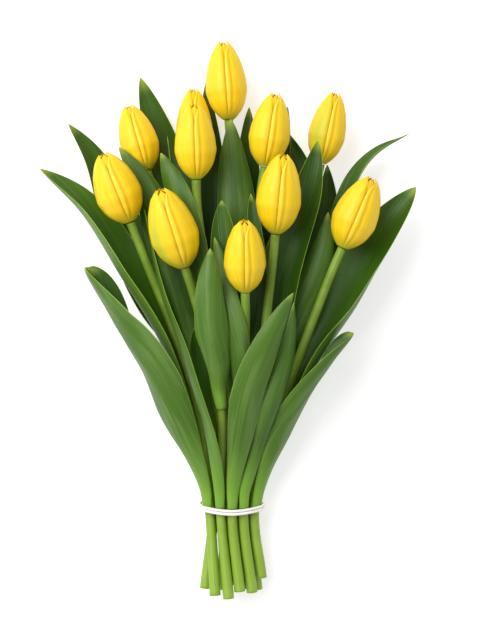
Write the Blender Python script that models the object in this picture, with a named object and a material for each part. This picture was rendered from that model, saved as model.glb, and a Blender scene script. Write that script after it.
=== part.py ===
"""Bunch of eleven yellow tulips lying on its side, tied near the cut ends with a rubber band.
Metres, +Z up, flowers towards +Y, lowest point on z = 0. Lengths in the tables are millimetres."""
import math

import bpy
import numpy as np

# ------------------------------------------------------------------ driving dimensions, mm
BAND_Y = -141.5          # where the rubber band crosses the bundle
CUT_RADIUS = 4.2         # stem at the cut end
BAND_RADIUS = 3.7        # stem under the band
NECK_RADIUS = 3.3        # stem under the flower
NECK_GAP = 0.4           # stem end to the flower base
LEAF_THICKNESS = 0.8
SHEATH_RADIUS = 4.75     # middle of a leaf base, measured from the stem's axis
TEPAL_THICKNESS = 1.0
WHORL_GAP = 0.5          # outer whorl to inner whorl
BAND_TUBE = 1.05         # half the thickness of one rubber strand
BAND_CLEARANCE = 0.15    # rubber strand to stems and leaf bases
STRAND_OFFSET = 1.18     # each strand from the middle of the pair
BAND_TILT = 0.3          # how far the band leans towards the cut ends, mm for each mm of height

# Tulips. x, y, z of the cut end, the middle of the visible stem, the flower base and the flower
# tip; band is x and z where the stem passes the rubber band; radius is the flower's widest.
TULIPS = {
    "01": dict(cut=(-9.8, -209.0, 25.0), band=(-14.5, 19.0), mid=(-24.2, -60.5, 30.0),
               base=(-72.9, 73.3, 48.4), tip=(-92.8, 123.2, 57.8), radius=18.0),
    "02": dict(cut=(0.4, -211.2, 26.0), band=(-5.9, 23.5), mid=(-5.6, -60.0, 47.5),
               base=(-31.8, 39.3, 62.6), tip=(-49.5, 95.7, 77.7), radius=18.6),
    "03": dict(cut=(8.8, -206.0, 24.0), band=(2.9, 25.2), mid=(11.2, -52.2, 46.0),
               base=(12.8, 20.9, 70.7), tip=(12.0, 72.6, 87.7), radius=16.0),
    "04": dict(cut=(18.2, -207.4, 19.0), band=(11.5, 23.4), mid=(22.5, -52.4, 42.0),
               base=(35.2, 64.2, 60.3), tip=(40.5, 121.6, 73.8), radius=17.2),
    "05": dict(cut=(25.4, -197.0, 13.5), band=(20.2, 18.3), mid=(45.3, -52.8, 32.0),
               base=(85.3, 54.2, 48.3), tip=(106.9, 105.6, 55.9), radius=17.6),
    "06": dict(cut=(22.3, -207.3, 5.5), band=(16.0, 9.9), mid=(33.6, -53.5, 16.0),
               base=(70.2, 118.8, 25.1), tip=(81.3, 172.1, 29.9), radius=14.7),
    "07": dict(cut=(12.3, -205.5, 12.0), band=(7.3, 15.5), mid=(14.4, -53.1, 26.0),
               base=(27.6, 115.2, 40.0), tip=(35.6, 169.2, 45.9), radius=16.0),
    "08": dict(cut=(4.4, -201.9, 5.4), band=(7.0, 6.5), mid=(2.3, -53.6, 14.0),
               base=(0.4, 152.1, 24.0), tip=(-3.8, 211.2, 26.9), radius=16.4),
    "09": dict(cut=(0.4, -202.3, 17.4), band=(-1.5, 15.8), mid=(-3.0, -60.2, 36.0),
               base=(-23.2, 104.7, 56.2), tip=(-24.8, 158.9, 67.8), radius=16.1),
    "10": dict(cut=(-5.4, -207.0, 7.5), band=(-2.2, 6.9), mid=(-13.0, -22.0, 17.0),
               base=(-25.0, 117.0, 24.0), tip=(-26.4, 175.6, 26.9), radius=14.8),
    "11": dict(cut=(-17.6, -205.5, 12.0), band=(-11.5, 11.0), mid=(-19.8, -53.4, 18.0),
               base=(-61.4, 113.4, 26.0), tip=(-75.6, 162.5, 28.0), radius=15.3),
}

# Leaves. start is the height of the leaf base above the band; side is the direction the base's
# outer face looks (degrees: 0 down, 90 left, 180 up, -90 right); wrap is how far the base goes
# round the stem to each side; facing is the outer face's direction at 0.35, 0.7 and 1.0 of
# the length; cup is the cross-section's half angle at the same places; path ends at the tip.
LEAVES = {
    "01_a": dict(tulip="01", start=-2, side=145, wrap=50, half_width=23,
                 facing=(150, 103, 45), cup=(47, 64, 85),
                 path=[(-34.5, -88.0, 43.0), (-59.5, -38.0, 54.0), (-82.0, -6.0, 50.0),
                       (-107.0, 39.5, 38.0)]),
    "01_b": dict(tulip="01", start=38, side=85, wrap=70, half_width=26,
                 facing=(78, 68, 70), cup=(66, 62, 50),
                 path=[(-47.8, -21.5, 35.0), (-79.0, 34.0, 33.5), (-109.5, 83.0, 32.0),
                       (-142.0, 114.0, 31.0)]),
    "02_a": dict(tulip="02", start=-2, side=172, wrap=43, half_width=11,
                 facing=(100, 90, 84), cup=(50, 32, 28),
                 path=[(-14.3, -89.0, 51.5), (-28.8, -40.0, 55.7), (-36.4, -15.0, 57.0),
                       (-46.0, 11.0, 57.5), (-51.5, 30.0, 56.5), (-62.4, 82.5, 48.3)]),
    "02_b": dict(tulip="02", start=42, side=85, wrap=42, half_width=8,
                 facing=(60, 20, 10), cup=(30, 30, 30),
                 path=[(-19.5, -55.0, 37.0), (-23.0, -33.0, 37.0), (-24.9, -5.1, 41.7)]),
    "02_c": dict(tulip="02", start=75, side=187, wrap=55, half_width=13,
                 facing=(185, 180, 175), cup=(45, 50, 50),
                 path=[(-6.3, -35.0, 67.0), (-12.0, -3.7, 78.0), (-13.3, 25.5, 81.5),
                       (-12.7, 51.9, 79.2)]),
    "03_a": dict(tulip="03", start=-2, side=187, wrap=45, half_width=13,
                 facing=(185, 195, 210), cup=(35, 40, 50),
                 path=[(9.0, -88.9, 51.3), (16.4, -51.3, 68.6), (29.0, -18.2, 79.2),
                       (47.6, 19.6, 81.9)]),
    "03_b": dict(tulip="03", start=62, side=185, wrap=55, half_width=10,
                 facing=(165, 162, 160), cup=(38, 42, 45),
                 path=[(9.5, -36.0, 63.5), (6.5, -20.0, 68.0), (3.0, -4.0, 70.5), (-0.8, 12.0, 69.5),
                       (-3.2, 24.0, 65.5), (-5.2, 36.0, 61.5), (-9.9, 60.9, 60.1)]),
    "03_c": dict(tulip="03", start=88, side=-40, wrap=55, half_width=8,
                 facing=(0, 0, 0), cup=(30, 30, 30),
                 path=[(18.0, -18.6, 40.0), (20.5, 3.7, 43.5), (21.0, 43.5, 48.0), (19.0, 72.0, 50.0),
                       (17.0, 93.9, 50.9)]),
    "04_a": dict(tulip="04", start=-2, side=190, wrap=42, half_width=8.3,
                 facing=(195, 200, 215), cup=(50, 50, 45),
                 path=[(21.0, -100.0, 39.7), (29.3, -72.0, 54.7), (38.0, -48.0, 61.2),
                       (44.0, -28.0, 63.7), (47.5, -6.0, 65.0), (48.6, 12.9, 63.9)]),
    "04_b": dict(tulip="04", start=62, side=-45, wrap=75, half_width=17,
                 facing=(-12, -14, 5), cup=(42, 52, 50),
                 path=[(35.5, -3.7, 35.5), (39.0, 30.0, 37.0), (52.0, 72.0, 41.0), (60.0, 98.0, 44.5),
                       (67.1, 133.4, 47.8)]),
    "05_a": dict(tulip="05", start=-2, side=215, wrap=50, half_width=14.3,
                 facing=(208, 250, 312), cup=(50, 62, 82),
                 path=[(38.9, -90.0, 39.9), (57.0, -60.0, 49.2), (72.6, -38.0, 52.1),
                       (93.5, -9.5, 46.6)]),
    "05_b": dict(tulip="05", start=36, side=-75, wrap=75, half_width=24,
                 facing=(-85, -45, -25), cup=(68, 55, 50),
                 path=[(62.8, -41.8, 31.5), (91.0, 8.5, 30.5), (107.5, 46.0, 30.0),
                       (122.0, 72.0, 29.5), (141.8, 100.3, 30.0)]),
    "06_a": dict(tulip="06", start=62, side=180, wrap=60, half_width=12,
                 facing=(180, 180, 180), cup=(30, 35, 40),
                 path=[(34.5, -52.0, 22.5), (50.0, -2.0, 30.5), (65.0, 33.0, 34.5), (72.0, 55.0, 36.0),
                       (75.2, 80.9, 37.4)]),
    "06_b": dict(tulip="06", start=106, side=15, wrap=65, half_width=11,
                 facing=(0, 0, 0), cup=(30, 30, 35),
                 path=[(61.5, 42.2, 7.2), (75.5, 84.6, 7.5), (75.9, 118.9, 11.8)]),
    "06_c": dict(tulip="06", start=70, side=-65, wrap=45, half_width=12,
                 facing=(0, -50, -100), cup=(30, 45, 50),
                 path=[(58.5, -25.0, 13.0), (76.5, 8.0, 13.0), (83.0, 43.8, 13.5), (88.5, 79.7, 17.0),
                       (97.0, 107.0, 20.0), (112.0, 126.0, 23.0), (137.3, 141.0, 27.0)]),
    "07_a": dict(tulip="07", start=100, side=-60, wrap=75, half_width=10,
                 facing=(-20, -5, 0), cup=(40, 42, 45),
                 path=[(24.5, -5.0, 22.0), (28.8, 60.7, 20.5), (38.7, 113.9, 22.0),
                       (45.1, 161.4, 27.8)]),
    "07_b": dict(tulip="07", start=84, side=-10, wrap=70, half_width=13.5,
                 facing=(0, 0, 0), cup=(35, 37, 40),
                 path=[(33.5, 38.3, 9.5), (54.0, 85.0, 9.5), (56.0, 112.0, 11.5), (44.7, 144.0, 13.9)]),
    "08_a": dict(tulip="08", start=75, side=180, wrap=60, half_width=17,
                 facing=(180, 180, 180), cup=(35, 37, 40),
                 path=[(2.6, -25.0, 28.0), (4.8, 30.2, 32.0), (6.3, 84.0, 37.0), (3.5, 125.0, 38.5),
                       (2.1, 150.9, 38.5)]),
    "08_b": dict(tulip="08", start=95, side=-30, wrap=75, half_width=12,
                 facing=(0, 0, 0), cup=(35, 37, 40),
                 path=[(10.8, 57.5, 10.0), (14.3, 107.5, 8.5), (16.0, 162.9, 11.9)]),
    "09_a": dict(tulip="09", start=128, side=150, wrap=60, half_width=14,
                 facing=(140, 140, 160), cup=(35, 38, 45),
                 path=[(-22.0, 30.0, 50.5), (-29.0, 57.0, 49.0), (-36.3, 85.0, 53.0),
                       (-43.2, 105.0, 53.0), (-49.8, 124.0, 52.1)]),
    "09_b": dict(tulip="09", start=120, side=-85, wrap=60, half_width=12,
                 facing=(-40, -15, -10), cup=(40, 35, 40),
                 path=[(1.2, 20.0, 51.0), (-1.4, 50.0, 54.3), (-3.2, 67.0, 55.5), (-4.6, 88.3, 57.0)]),
    "10_a": dict(tulip="10", start=36, side=5, wrap=60, half_width=20,
                 facing=(0, 0, 0), cup=(30, 35, 45),
                 path=[(-9.5, -45.0, 6.0), (-21.5, 23.0, 5.0), (-35.0, 90.0, 5.0), (-47.0, 121.0, 6.0),
                       (-55.5, 149.0, 8.0), (-67.3, 185.5, 13.7)]),
    "10_b": dict(tulip="10", start=100, side=150, wrap=60, half_width=6,
                 facing=(110, 85, 80), cup=(45, 45, 45),
                 path=[(-20.5, 8.0, 25.5), (-29.5, 60.6, 29.0), (-40.8, 98.1, 32.0),
                       (-45.7, 137.9, 35.8)]),
    "10_c": dict(tulip="10", start=90, side=-20, wrap=75, half_width=11,
                 facing=(0, 0, 0), cup=(30, 32, 40),
                 path=[(-12.0, 20.0, 10.5), (-11.5, 53.7, 12.0), (-10.8, 90.0, 12.0),
                       (-12.5, 123.1, 7.5), (-17.5, 181.9, 8.0)]),
    "11_a": dict(tulip="11", start=50, side=60, wrap=60, half_width=17,
                 facing=(20, 20, 50), cup=(30, 30, 45),
                 path=[(-36.0, -24.0, 8.0), (-58.0, 15.0, 6.5), (-84.0, 77.0, 6.0),
                       (-103.0, 122.0, 12.0), (-121.8, 149.3, 19.5)]),
    "11_b": dict(tulip="11", start=80, side=160, wrap=75, half_width=15,
                 facing=(180, 175, 150), cup=(35, 38, 45),
                 path=[(-25.5, -20.0, 28.2), (-44.5, 49.0, 36.5), (-61.0, 95.0, 39.0),
                       (-81.9, 129.7, 39.0)]),
}

# How the width falls towards the tip: a power of the distance to it, 0.75 where none is given.
BLUNT = {"01_a": 0.46, "05_a": 0.46}

GREEN = (0.10, 0.19, 0.03)
STEM_GREEN = (0.28, 0.38, 0.05)
YELLOW = (0.96, 0.68, 0.01)
RUBBER = (0.90, 0.87, 0.84)


# ------------------------------------------------------------------ curves
def smooth_path(points, parts=24):
    """A chord-length Catmull-Rom curve through the points, as closely spaced positions."""
    p = np.asarray(points, float)
    p = np.vstack([2 * p[0] - p[1], p, 2 * p[-1] - p[-2]])
    knots = np.concatenate([[0.0], np.cumsum(np.sqrt(np.linalg.norm(np.diff(p, axis=0), axis=1)))])
    out = []
    for i in range(1, len(p) - 2):
        t0, t1, t2, t3 = knots[i - 1:i + 3]
        t = np.linspace(t1, t2, parts, endpoint=i == len(p) - 3)[:, None]
        a1 = (t1 - t) / (t1 - t0) * p[i - 1] + (t - t0) / (t1 - t0) * p[i]
        a2 = (t2 - t) / (t2 - t1) * p[i] + (t - t1) / (t2 - t1) * p[i + 1]
        a3 = (t3 - t) / (t3 - t2) * p[i + 1] + (t - t2) / (t3 - t2) * p[i + 2]
        b1 = (t2 - t) / (t2 - t0) * a1 + (t - t0) / (t2 - t0) * a2
        b2 = (t3 - t) / (t3 - t1) * a2 + (t - t1) / (t3 - t1) * a3
        out.append((t2 - t) / (t2 - t1) * b1 + (t - t1) / (t2 - t1) * b2)
    return np.vstack(out)


def along(path, fractions):
    """Positions and unit tangents at the given fractions of the path's length."""
    steps = np.linalg.norm(np.diff(path, axis=0), axis=1)
    length = np.concatenate([[0.0], np.cumsum(steps)])
    here = np.asarray(fractions) * length[-1]
    place = np.stack([np.interp(here, length, path[:, k]) for k in range(3)], axis=1)
    ahead, behind = np.minimum(here + 2.0, length[-1]), np.maximum(here - 2.0, 0.0)
    step = np.stack([np.interp(ahead, length, path[:, k]) - np.interp(behind, length, path[:, k])
                     for k in range(3)], axis=1)
    return place, step / np.linalg.norm(step, axis=1)[:, None]


def stem_path(tulip):
    """The stem's axis from the cut end to the flower base."""
    row = TULIPS[tulip]
    band = (row["band"][0], BAND_Y, row["band"][1])
    base, tip = np.array(row["base"]), np.array(row["tip"])
    up = (tip - base) / np.linalg.norm(tip - base)
    return smooth_path([row["cut"], band, row["mid"], base - 22.0 * up, base - NECK_GAP * up])


def at_height(path, y):
    """The point of a stem's axis at the given y."""
    return np.array([np.interp(y, path[:, 1], path[:, k]) for k in range(3)])


# ------------------------------------------------------------------ meshes
def add_solid(name, points, faces, colour, roughness):
    """Keeps one closed body in the list that is placed at the end, its faces turned outwards."""
    points = np.asarray(points, float)
    fans = [(f[0], f[i], f[i + 1]) for f in faces for i in range(1, len(f) - 1)]
    a, b, c = (points[[fan[k] for fan in fans]] for k in range(3))
    if np.sum(a * np.cross(b, c)) < 0:
        faces = [f[::-1] for f in faces]
    SOLIDS.append((name, points, faces, colour, roughness))


def tube(rings, closed):
    """Faces of a tube from equally sized rings of point numbers, with flat ends if open."""
    faces = []
    count, sides = len(rings), len(rings[0])
    for i in range(count if closed else count - 1):
        a, b = rings[i], rings[(i + 1) % count]
        for j in range(sides):
            k = (j + 1) % sides
            faces.append((a[j], a[k], b[k], b[j]))
    if not closed:
        faces.append(tuple(reversed(rings[0])))
        faces.append(tuple(rings[-1]))
    return faces


def add_stem(tulip, sides=8):
    """A round stem that tapers from the cut end to the neck."""
    path = stem_path(tulip)
    fractions = np.linspace(0.0, 1.0, 11)
    place, tangent = along(path, fractions)
    radius = np.interp(fractions, [0.0, 0.2, 1.0], [CUT_RADIUS, BAND_RADIUS, NECK_RADIUS])
    across = np.cross(tangent, (0.0, 0.0, 1.0))
    across /= np.linalg.norm(across, axis=1)[:, None]
    over = np.cross(across, tangent)
    angle = 2 * math.pi * (np.arange(sides) + 0.5) / sides
    ring = (place[:, None] + radius[:, None, None] * (
        np.cos(angle)[None, :, None] * across[:, None] + np.sin(angle)[None, :, None] * over[:, None]))
    numbers = np.arange(len(fractions) * sides).reshape(-1, sides)
    faces = tube([list(map(int, r)) for r in numbers], closed=False)
    add_solid(f"stem_{tulip}", ring.reshape(-1, 3), faces, STEM_GREEN, 0.45)


def out_direction(degrees):
    """0 looks down, 90 left, 180 up and -90 right."""
    a = np.radians(degrees)
    return np.stack([-np.sin(a), np.zeros_like(a), -np.cos(a)], axis=-1)


def add_leaf(name, columns=4):
    """A pointed blade: an arc-shaped cross-section carried along the leaf's path. At its base the
    arc goes round the stem, then it opens and turns to the directions in the table."""
    row = LEAVES[name]
    stem = stem_path(row["tulip"])
    side = out_direction(np.array([row["side"]], float))[0]
    low = at_height(stem, BAND_Y + row["start"]) + side * SHEATH_RADIUS
    high = at_height(stem, BAND_Y + row["start"] + 14.0) + side * (SHEATH_RADIUS + 0.6)
    path = smooth_path([low, high] + row["path"])
    t = np.array([0.0, 0.05, 0.12, 0.22, 0.35, 0.5, 0.65, 0.8, 0.92, 1.0])
    place, tangent = along(path, t)
    ease = t * t * (3 - 2 * t)
    knots = [0.0, 0.08, 0.35, 0.7, 1.0]
    facing = np.interp(t, knots, [row["side"], row["side"], *row["facing"]])
    cup = np.radians(np.interp(t, knots, [row["wrap"], row["wrap"], *row["cup"]]))
    blade = (t / 0.56) ** 0.95 * ((1 - t) / 0.44) ** BLUNT.get(name, 0.75)
    base = SHEATH_RADIUS * np.radians(row["wrap"])
    half = base * (1 - ease) ** 3 + row["half_width"] * blade * np.minimum(1.0, 0.35 + 1.3 * t)
    half = np.maximum(half, 0.8)
    out = out_direction(facing)
    out -= tangent * np.sum(out * tangent, axis=1)[:, None]
    out /= np.linalg.norm(out, axis=1)[:, None]
    across = np.cross(tangent, out)
    bend = half / cup
    s = np.linspace(-1.0, 1.0, columns + 1)
    angle = s[None, :] * cup[:, None]
    normal = np.sin(angle)[..., None] * across[:, None] + np.cos(angle)[..., None] * out[:, None]
    middle = place[:, None] + bend[:, None, None] * (normal - out[:, None])
    outer = middle + 0.5 * LEAF_THICKNESS * normal
    inner = middle - 0.5 * LEAF_THICKNESS * normal
    wide = columns + 1
    points = np.concatenate([outer, inner[:, ::-1]], axis=1)
    numbers = np.arange(len(t) * 2 * wide).reshape(len(t), 2 * wide)
    faces = []
    for i in range(len(t) - 1):
        for j in range(2 * wide):
            k = (j + 1) % (2 * wide)
            a, b, c, d = (int(numbers[i, j]), int(numbers[i, k]),
                          int(numbers[i + 1, k]), int(numbers[i + 1, j]))
            if j in (columns, 2 * columns + 1):
                faces.append((a, b, c, d))
                continue
            # Both sheets fold along the same diagonal, the shorter one, so the wall keeps its thickness.
            column = j if j < columns else 2 * columns + 1 - k
            rising = np.linalg.norm(middle[i, column] - middle[i + 1, column + 1])
            falling = np.linalg.norm(middle[i, column + 1] - middle[i + 1, column])
            if (rising <= falling) == (j < columns):
                faces += [(a, b, c), (a, c, d)]
            else:
                faces += [(a, b, d), (b, c, d)]
    for i, flip in ((0, True), (len(t) - 1, False)):
        for j in range(columns):
            quad = (numbers[i, j], numbers[i, j + 1],
                    numbers[i, 2 * wide - 2 - j], numbers[i, 2 * wide - 1 - j])
            quad = tuple(int(q) for q in quad)
            faces.append(quad if not flip else quad[::-1])
    add_solid(f"leaf_{name}", points.reshape(-1, 3), faces, GREEN, 0.45)


BUD_HEIGHT = [0.0, 0.05, 0.12, 0.2, 0.37, 0.55, 0.72, 0.86, 0.95, 1.0]
BUD_RADIUS = [0.27, 0.48, 0.68, 0.84, 1.0, 0.94, 0.79, 0.57, 0.37, 0.20]


def add_whorl(tulip, kind, columns=12):
    """Three tepals joined at the foot: a thin cup whose rim rises to three points."""
    row = TULIPS[tulip]
    base, tip = np.array(row["base"]), np.array(row["tip"])
    length = np.linalg.norm(tip - base)
    axis = (tip - base) / length
    front = np.array([0.0, 0.0, 1.0]) - axis * axis[2]
    front /= np.linalg.norm(front)
    right = np.cross(axis, front)
    theta = 2 * math.pi * np.arange(columns) / columns
    if kind == "outer":
        foot, crown, notch, phase = 0.0, 1.0, 0.9, math.radians(66.0)
        stations = np.array([0.0, 0.2, 0.42, 0.64, 0.84, 1.0])
    else:
        foot, crown, notch, phase = 0.09, 0.95, 0.86, math.radians(6.0)
        stations = np.array([0.0, 0.35, 0.7, 1.0])
    peak = (0.5 + 0.5 * np.cos(3 * (theta - phase))) ** 1.5
    top = notch + (crown - notch) * peak
    u = foot + (top[None, :] - foot) * stations[:, None]
    wide = row["radius"] * np.interp(u, BUD_HEIGHT, BUD_RADIUS)
    if kind == "inner":
        wide = (wide - TEPAL_THICKNESS - WHORL_GAP) * 0.92
        wide = np.maximum(wide, 1.6)
        wide[0] = np.minimum(wide[0], 4.0)
    thin = np.maximum(wide - TEPAL_THICKNESS, 0.5)
    inner_u = u.copy()
    inner_u[0] += 0.05
    ray = np.cos(theta)[:, None] * front + np.sin(theta)[:, None] * right

    def place(radius, height):
        return base + height[..., None] * length * axis + radius[..., None] * ray[None]

    rows = len(stations)
    points = np.concatenate([place(wide, u).reshape(-1, 3), place(thin, inner_u).reshape(-1, 3)])
    numbers = np.arange(2 * rows * columns).reshape(2, rows, columns)
    faces = []
    for i in range(rows - 1):
        for j in range(columns):
            k = (j + 1) % columns
            a, b = numbers[0], numbers[1]
            faces.append((a[i, j], a[i, k], a[i + 1, k], a[i + 1, j]))
            faces.append((b[i, j], b[i + 1, j], b[i + 1, k], b[i, k]))
    for j in range(columns):
        k = (j + 1) % columns
        faces.append((numbers[0, -1, j], numbers[0, -1, k], numbers[1, -1, k], numbers[1, -1, j]))
    faces.append(tuple(numbers[0, 0, ::-1]))
    faces.append(tuple(numbers[1, 0, :]))
    faces = [tuple(int(q) for q in f) for f in faces]
    add_solid(f"{kind}_tepals_{tulip}", points, faces, YELLOW, 0.4)


def add_band(parts=30, sides=6):
    """A round rubber strand wound twice: it follows the bundle's outline at a fixed clearance and
    changes from one turn to the other below the left side, where one turn passes outside."""
    circles = []
    for tulip in TULIPS:
        x, _, z = at_height(stem_path(tulip), BAND_Y)
        circles.append((x, z, BAND_RADIUS + 0.35))
    for name, row in LEAVES.items():
        if row["start"] < 0:
            x, _, z = at_height(stem_path(row["tulip"]), BAND_Y)
            for turn in np.linspace(-row["wrap"], row["wrap"], 5):
                ray = out_direction(np.array([row["side"] + turn]))[0]
                circles.append((x + ray[0] * SHEATH_RADIUS, z + ray[2] * SHEATH_RADIUS,
                                0.5 * LEAF_THICKNESS + 0.35))
    circles = np.array(circles)
    centre = np.array([np.mean([circles[:, 0].min(), circles[:, 0].max()]),
                       np.mean([circles[:, 1].min(), circles[:, 1].max()])])
    look = np.linspace(0, 2 * math.pi, 361)[:-1]
    ray = np.stack([np.cos(look), np.sin(look)], axis=1)
    reach = np.max((circles[:, :2] - centre) @ ray.T + circles[:, 2:3], axis=0)
    reach += BAND_CLEARANCE + BAND_TUBE
    slope = (np.roll(reach, -1) - np.roll(reach, 1)) / (2 * math.radians(1.0))
    outline = centre + reach[:, None] * ray + slope[:, None] * np.stack([-ray[:, 1], ray[:, 0]], axis=1)
    start = math.radians(235.0)
    turn = np.linspace(0, 4 * math.pi, 2 * parts, endpoint=False)
    look_at = np.degrees(start + turn) % 360.0
    x = np.interp(look_at, np.arange(361), np.append(outline[:, 0], outline[0, 0]))
    z = np.interp(look_at, np.arange(361), np.append(outline[:, 1], outline[0, 1]))
    span = math.radians(40.0)
    near = np.minimum(turn % (4 * math.pi), (4 * math.pi - turn) % (4 * math.pi)) / span
    far = np.abs(turn - 2 * math.pi) / span
    lane = np.where(turn < 2 * math.pi, 1.0, -1.0)
    blend = np.clip(np.minimum(near, far), 0, 1)
    lane = lane * (blend * blend * (3 - 2 * blend))
    lift = (2 * BAND_TUBE + 0.5) * np.clip(1 - far * 0.55, 0, 1) ** 1.0
    angle = start + turn
    x = x + lift * np.cos(angle)
    z = z + lift * np.sin(angle)
    y = BAND_Y + STRAND_OFFSET * lane - BAND_TILT * (z - centre[1])
    path = np.stack([x, y, z], axis=1)
    tangent = np.roll(path, -1, axis=0) - np.roll(path, 1, axis=0)
    tangent /= np.linalg.norm(tangent, axis=1)[:, None]
    across = np.cross(tangent, (0.0, 1.0, 0.0))
    across /= np.linalg.norm(across, axis=1)[:, None]
    over = np.cross(across, tangent)
    turn = 2 * math.pi * np.arange(sides) / sides
    ring = path[:, None] + BAND_TUBE * (np.cos(turn)[None, :, None] * across[:, None]
                                        + np.sin(turn)[None, :, None] * over[:, None])
    numbers = np.arange(len(path) * sides).reshape(-1, sides)
    faces = tube([list(map(int, r)) for r in numbers], closed=True)
    add_solid("rubber_band", ring.reshape(-1, 3), [f[::-1] for f in faces], RUBBER, 0.6)


def place_solids():
    """Puts the lowest point on z = 0 and the outline's middle on x = y = 0, and makes the objects."""
    everything = np.vstack([points for _, points, _, _, _ in SOLIDS])
    low, high = everything.min(axis=0), everything.max(axis=0)
    shift = np.array([-(low[0] + high[0]) / 2, -(low[1] + high[1]) / 2, -low[2]])
    for name, points, faces, colour, roughness in SOLIDS:
        mesh = bpy.data.meshes.new(name)
        mesh.from_pydata(((points + shift) / 1000.0).tolist(), [], faces)
        mesh.update()
        material = bpy.data.materials.new(f"{name}_surface")
        material.use_nodes = True
        shader = material.node_tree.nodes["Principled BSDF"]
        shader.inputs["Base Color"].default_value = (*colour, 1.0)
        shader.inputs["Roughness"].default_value = roughness
        mesh.materials.append(material)
        body = bpy.data.objects.new(name, mesh)
        bpy.context.scene.collection.objects.link(body)


for thing in list(bpy.data.objects):
    bpy.data.objects.remove(thing, do_unlink=True)
SOLIDS = []
for number in TULIPS:
    add_stem(number)
    add_whorl(number, "outer")
    add_whorl(number, "inner")
for leaf in LEAVES:
    add_leaf(leaf)
add_band()
place_solids()
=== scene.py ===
import math

import bpy
import numpy as np
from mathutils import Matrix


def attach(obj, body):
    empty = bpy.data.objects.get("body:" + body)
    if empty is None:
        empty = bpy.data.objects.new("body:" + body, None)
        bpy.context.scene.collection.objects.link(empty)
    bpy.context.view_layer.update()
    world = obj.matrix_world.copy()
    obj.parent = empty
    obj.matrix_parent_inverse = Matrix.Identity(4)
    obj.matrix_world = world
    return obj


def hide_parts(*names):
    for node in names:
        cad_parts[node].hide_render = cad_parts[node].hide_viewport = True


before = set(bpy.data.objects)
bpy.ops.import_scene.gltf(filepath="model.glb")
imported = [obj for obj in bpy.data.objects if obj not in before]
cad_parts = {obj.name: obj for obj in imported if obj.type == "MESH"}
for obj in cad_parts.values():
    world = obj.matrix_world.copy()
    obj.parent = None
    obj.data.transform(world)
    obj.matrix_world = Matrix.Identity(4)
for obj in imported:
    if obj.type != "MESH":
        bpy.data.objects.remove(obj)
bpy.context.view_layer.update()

# ---------------------------------------------------------------- table, light and camera
# The bunch lies on a white table under a large soft light from its upper left, with white walls
# around it. The camera looks straight down from 1.3 m.


def linear(code):
    """Linear red, green, blue, 1 from an sRGB hex value: c/12.92 below 0.04045, else a 2.4 power."""
    part = [int(code[i:i + 2], 16) / 255 for i in (1, 3, 5)]
    return (*[c / 12.92 if c <= 0.04045 else ((c + 0.055) / 1.055) ** 2.4 for c in part], 1.0)


def add_node(tree, kind, values=None, links=None, **settings):
    """Adds a node of the given kind, sets its properties and socket values, and links its inputs."""
    node = tree.nodes.new(kind)
    for key, value in settings.items():
        setattr(node, key, value)
    for key, value in (values or {}).items():
        node.inputs[key].default_value = value
    for key, source in (links or {}).items():
        tree.links.new(source, node.inputs[key])
    return node


def new_material(name, **values):
    """A material with one Principled shader whose named sockets hold the given values."""
    material = bpy.data.materials.new(name)
    material.use_nodes = True
    shader = material.node_tree.nodes["Principled BSDF"]
    for key, value in values.items():
        shader.inputs[key.replace("_", " ")].default_value = value
    return material, material.node_tree, shader


table_mesh = bpy.data.meshes.new("table")
table_mesh.from_pydata([(-3, -3, -0.0005), (3, -3, -0.0005), (3, 3, -0.0005), (-3, 3, -0.0005)],
                       [], [(0, 1, 2, 3)])
table = bpy.data.objects.new("table", table_mesh)
bpy.context.scene.collection.objects.link(table)
white_card, _, _ = new_material("white_card", Base_Color=linear("#CDCBCC"), Roughness=0.9,
                                Emission_Color=linear("#FFFFFF"), Emission_Strength=0.56)
table_mesh.materials.append(white_card)

world = bpy.data.worlds.new("white_room")
world.use_nodes = True
world.node_tree.nodes["Background"].inputs["Color"].default_value = (1.0, 1.0, 1.0, 1.0)
world.node_tree.nodes["Background"].inputs["Strength"].default_value = 0.62
bpy.context.scene.world = world
bpy.context.scene.view_settings.view_transform = "Standard"


def soft_light(name, place, aim, width, power):
    """A square area light of the given width at place, facing aim."""
    lamp = bpy.data.lights.new(name, "AREA")
    lamp.size = width
    lamp.energy = power
    body = bpy.data.objects.new(name, lamp)
    body.location = place
    away = np.subtract(place, aim)
    turn = math.atan2(away[0], -away[1])
    tilt = math.atan2(math.hypot(away[0], away[1]), away[2])
    body.rotation_euler = (tilt, 0.0, turn)
    bpy.context.scene.collection.objects.link(body)


soft_light("window", (-0.75, 0.6, 1.25), (0.0, 0.0, 0.0), 1.2, 24.0)

CAMERA_HEIGHT = 1.3
camera_data = bpy.data.cameras.new("overhead")
camera_data.sensor_fit = "HORIZONTAL"
camera_data.sensor_width = 36.0
camera_data.lens = 126.0
camera = bpy.data.objects.new("overhead", camera_data)
camera.location = (0.009 + -0.100 / 1000, 0.235 / 1000, CAMERA_HEIGHT)
bpy.context.scene.collection.objects.link(camera)
bpy.context.scene.camera = camera

# ---------------------------------------------------------------- stems
# Eleven round, juicy stems, pale yellow-green and faintly ribbed along their length. They were
# cut straight across, cross each other under the band and fan out towards the flowers.

BAND_Y = -141.5          # where the rubber band crosses, mm
CUT_RADIUS = 4.2         # stem radii at the cut end, under the band and under the flower, mm
BAND_RADIUS = 3.7
NECK_RADIUS = 3.3
NECK_GAP = 0.4
MIDDLE = np.array([-0.100, 0.235, 1.111])   # from the tables' zero to the row frame, mm

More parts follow.
